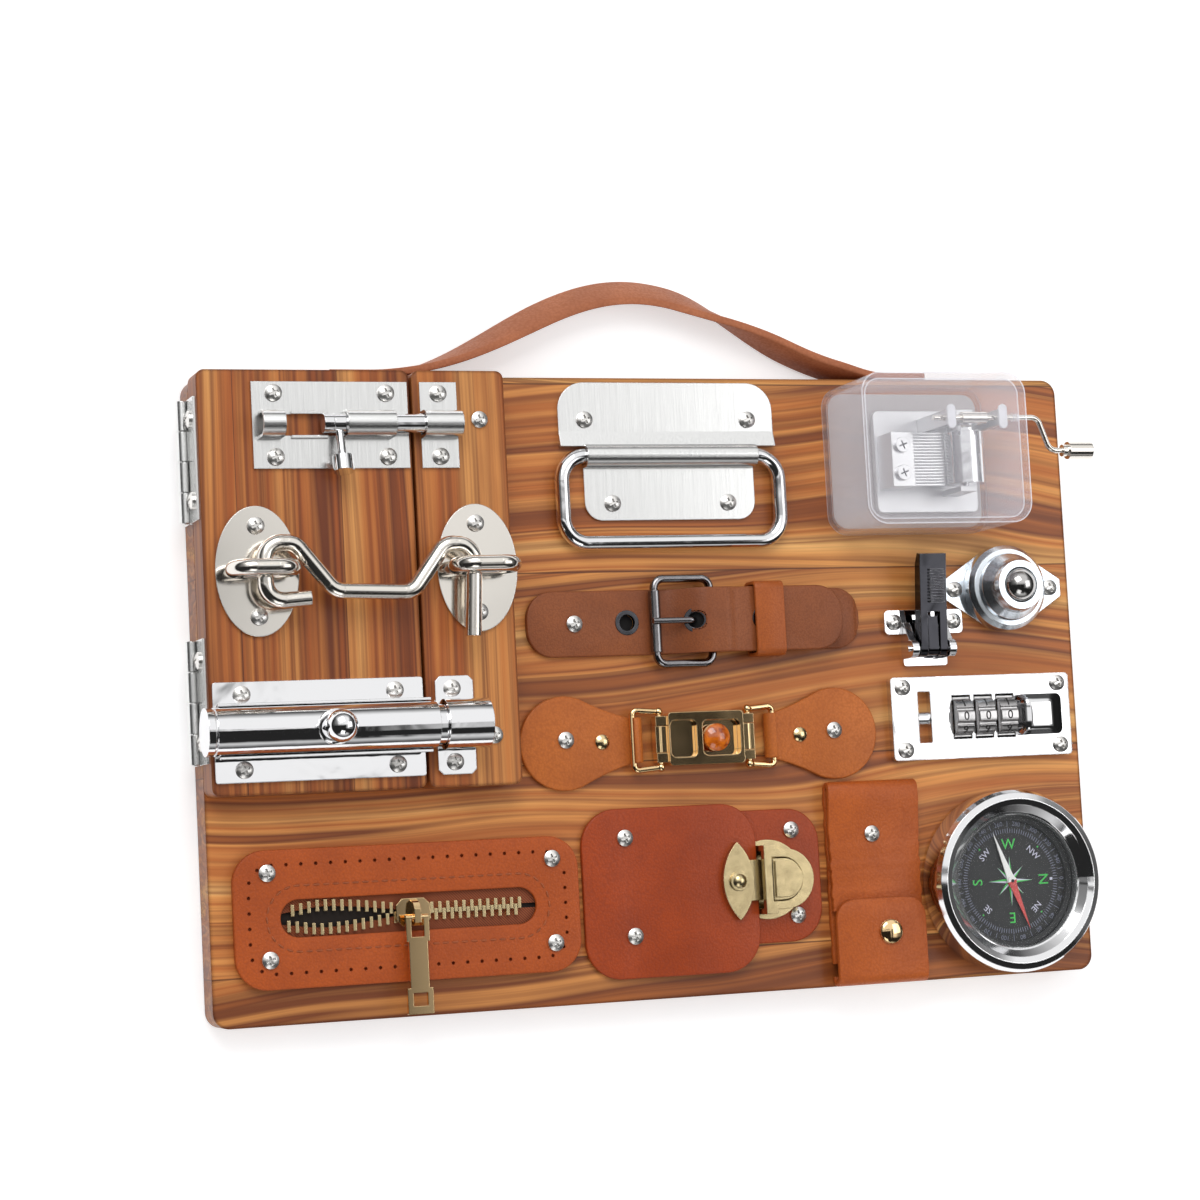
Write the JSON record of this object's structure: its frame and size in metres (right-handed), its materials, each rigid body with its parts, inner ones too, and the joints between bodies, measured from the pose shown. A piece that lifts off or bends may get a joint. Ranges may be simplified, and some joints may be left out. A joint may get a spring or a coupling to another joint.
{
  "type": "wooden busy board",
  "caption": "Torched pine play board with a hinged door and a set of bolts, hooks, buckles, zips, locks, a compass and a hand-cranked music box to work.",
  "frame": {"origin": "centre of the main board's flat back face; the part lies on that face", "axes": "+Z out of the front face, +Y to the edge with the carry strap, +X to the crank side"},
  "size_m": [0.3041, 0.2307, 0.0516],
  "materials": {
    "pine": "torched, waxed",
    "steel": "brushed",
    "nickel": "polished nickel",
    "chrome": "mirror",
    "zinc": "zinc plated",
    "clear": "clear moulded plastic",
    "gunmetal": "dark nickel",
    "gold": "polished gold",
    "antique_brass": "brushed antique",
    "amber": "clear amber",
    "tan_leather": "pebbled",
    "belt_leather": "smooth",
    "clasp_leather": "pebbled",
    "strap_leather": "raw edge",
    "dial_black": "printed",
    "needle_red": "painted"
  },
  "bodies": {
    "root": {"main_board": "pine", "keeper_block": "pine", "board_hinge_leaves": "steel", "board_screws": "nickel", "tower_keeper": "steel", "cabin_eye_right": "nickel", "spring_bolt_keeper": "chrome", "chest_handle_plate": "steel", "music_case": "clear", "music_bedplate": "zinc", "music_comb": "steel", "belt_base_strap": "belt_leather", "belt_tongue_strap": "belt_leather", "leather_rivets": "gunmetal", "clasp_straps": "clasp_leather", "clasp_body": "gold", "clasp_bails": "gold", "toggle_base": "chrome", "caster_housing": "zinc", "lock_plate": "chrome", "zipper_panel": "tan_leather", "zipper_chain": "antique_brass", "flap_leather": "tan_leather", "flap_base_patch": "tan_leather", "tuck_lock_case": "antique_brass", "snap_strap": "tan_leather", "compass_case": "steel", "compass_dial": "dial_black", "compass_glass": "clear", "carry_strap": "strap_leather"},
    "door": {"door_panel": "pine", "door_hinge_leaves": "steel", "door_screws": "nickel", "tower_plate": "steel", "spring_bolt_case": "chrome", "cabin_eye_left": "nickel"},
    "tower_bolt": {"tower_rod": "chrome"},
    "tower_bolt_lever": {"tower_lever": "chrome"},
    "spring_bolt": {"spring_bolt_sleeve": "chrome"},
    "hook": {"cabin_hook": "nickel"},
    "chest_bail": {"chest_handle_bail": "chrome"},
    "drum": {"music_drum": "chrome"},
    "crank": {"music_crank": "nickel"},
    "buckle": {"buckle_frame": "gunmetal"},
    "prong": {"buckle_prong": "gunmetal"},
    "belt_keeper": {"belt_keeper_loop": "belt_leather"},
    "gem": {"clasp_button": "amber"},
    "toggle": {"toggle_lever": "chrome"},
    "toggle_catch": {"toggle_hook": "chrome"},
    "ball": {"caster_ball": "chrome"},
    "dial_1": {"lock_dial_1": "nickel"},
    "dial_2": {"lock_dial_2": "nickel"},
    "dial_3": {"lock_dial_3": "nickel"},
    "lock_slide_button": {"lock_button": "chrome"},
    "zip_slider": {"zipper_slider": "gold"},
    "zip_pull": {"zipper_pull": "gold"},
    "tuck_button": {"tuck_lock_button": "antique_brass"},
    "tuck_leaf": {"tuck_leaf_plate": "antique_brass"},
    "snap": {"snap_flap": "tan_leather"},
    "needle": {"compass_needle": "needle_red"}
  },
  "joints": [
    {"name": "door_hinge", "type": "hinge", "parent": "root", "child": "door", "pos_m": [-0.15215, 0.035, 0.012], "axis": [0, -1, 0], "range_deg": [0, 110]},
    {"name": "tower_bolt_slide", "type": "slide", "parent": "door", "child": "tower_bolt", "axis": [-1, 0, 0], "range_m": [0, 0.0156]},
    {"name": "tower_lever_turn", "type": "hinge", "parent": "tower_bolt", "child": "tower_bolt_lever", "pos_m": [-0.107, 0.0827, 0.0282], "axis": [-1, 0, 0], "range_deg": [0, 90]},
    {"name": "spring_bolt_slide", "type": "slide", "parent": "door", "child": "spring_bolt", "axis": [-1, 0, 0], "range_m": [0, 0.0168], "stiffness_N_per_m": 120, "springref_m": -0.004},
    {"name": "cabin_hook_swing", "type": "hinge", "parent": "door", "child": "hook", "pos_m": [-0.1335, 0.0378, 0.03], "axis": [0, 0, 1], "range_deg": [0, 25]},
    {"name": "chest_bail_lift", "type": "hinge", "parent": "root", "child": "chest_bail", "pos_m": [0.0068, 0.0742, 0.0149], "axis": [-1, 0, 0], "range_deg": [0, 90]},
    {"name": "music_drum_turn", "type": "hinge", "parent": "root", "child": "drum", "pos_m": [0.106, 0.07105, 0.0275], "axis": [0, 1, 0], "continuous": true},
    {"name": "music_crank_turn", "type": "hinge", "parent": "root", "child": "crank", "pos_m": [0.106, 0.08325, 0.037], "axis": [1, 0, 0], "continuous": true},
    {"name": "buckle_lift", "type": "hinge", "parent": "root", "child": "buckle", "pos_m": [0.0175, 0.0203, 0.0155], "axis": [0, 1, 0], "range_deg": [0, 14]},
    {"name": "prong_lift", "type": "hinge", "parent": "root", "child": "prong", "pos_m": [0.0175, 0.0203, 0.0155], "axis": [0, 1, 0], "range_deg": [0, 14]},
    {"name": "belt_keeper_slide", "type": "slide", "parent": "root", "child": "belt_keeper", "axis": [1, 0, 0], "range_m": [0, 0.012]},
    {"name": "clasp_press", "type": "slide", "parent": "root", "child": "gem", "axis": [0, 0, -1], "range_m": [0, 0.0012], "stiffness_N_per_m": 300},
    {"name": "toggle_lever_lift", "type": "hinge", "parent": "root", "child": "toggle", "pos_m": [0.0944, 0.009, 0.0182], "axis": [1, 0, 0], "range_deg": [0, 100]},
    {"name": "toggle_catch_lift", "type": "hinge", "parent": "root", "child": "toggle_catch", "pos_m": [0.0944, 0.009, 0.0182], "axis": [1, 0, 0], "range_deg": [0, 100]},
    {"name": "caster_roll", "type": "hinge", "parent": "root", "child": "ball", "pos_m": [0.1243, 0.0288, 0.0252], "axis": [1, 0, 0], "continuous": true},
    {"name": "lock_dial_1_turn", "type": "hinge", "parent": "root", "child": "dial_1", "pos_m": [0.1057, -0.0139, 0.0111], "axis": [1, 0, 0], "continuous": true},
    {"name": "lock_dial_2_turn", "type": "hinge", "parent": "root", "child": "dial_2", "pos_m": [0.1138, -0.0139, 0.0111], "axis": [1, 0, 0], "continuous": true},
    {"name": "lock_dial_3_turn", "type": "hinge", "parent": "root", "child": "dial_3", "pos_m": [0.1219, -0.0139, 0.0111], "axis": [1, 0, 0], "continuous": true},
    {"name": "lock_button_slide", "type": "slide", "parent": "root", "child": "lock_slide_button", "axis": [1, 0, 0], "range_m": [0, 0.0016], "stiffness_N_per_m": 200},
    {"name": "zipper_slide", "type": "slide", "parent": "root", "child": "zip_slider", "axis": [1, 0, 0], "range_m": [-0.033, 0.032], "deforming": ["zipper_chain"]},
    {"name": "zipper_pull_lift", "type": "hinge", "parent": "zip_slider", "child": "zip_pull", "pos_m": [-0.087, -0.0694, 0.0194], "axis": [-1, 0, 0], "range_deg": [0, 160]},
    {"name": "tuck_button_press", "type": "slide", "parent": "root", "child": "tuck_button", "axis": [0, 0, -1], "range_m": [0, 0.001], "stiffness_N_per_m": 300},
    {"name": "tuck_leaf_pull", "type": "slide", "parent": "root", "child": "tuck_leaf", "axis": [-1, 0, 0], "range_m": [0, 0.008], "deforming": ["flap_leather"]},
    {"name": "snap_flap_open", "type": "hinge", "parent": "root", "child": "snap", "pos_m": [0.0705, -0.0964, 0.01525], "axis": [1, 0, 0], "range_deg": [0, 150]},
    {"name": "compass_needle_turn", "type": "hinge", "parent": "root", "child": "needle", "pos_m": [0.1188, -0.069, 0.018], "axis": [0, 0, 1], "continuous": true}
  ],
  "couplings": [
    {"joint": "music_crank_turn", "follows": "music_drum_turn", "ratio": 28},
    {"joint": "prong_lift", "follows": "buckle_lift", "ratio": 1}
  ]
}
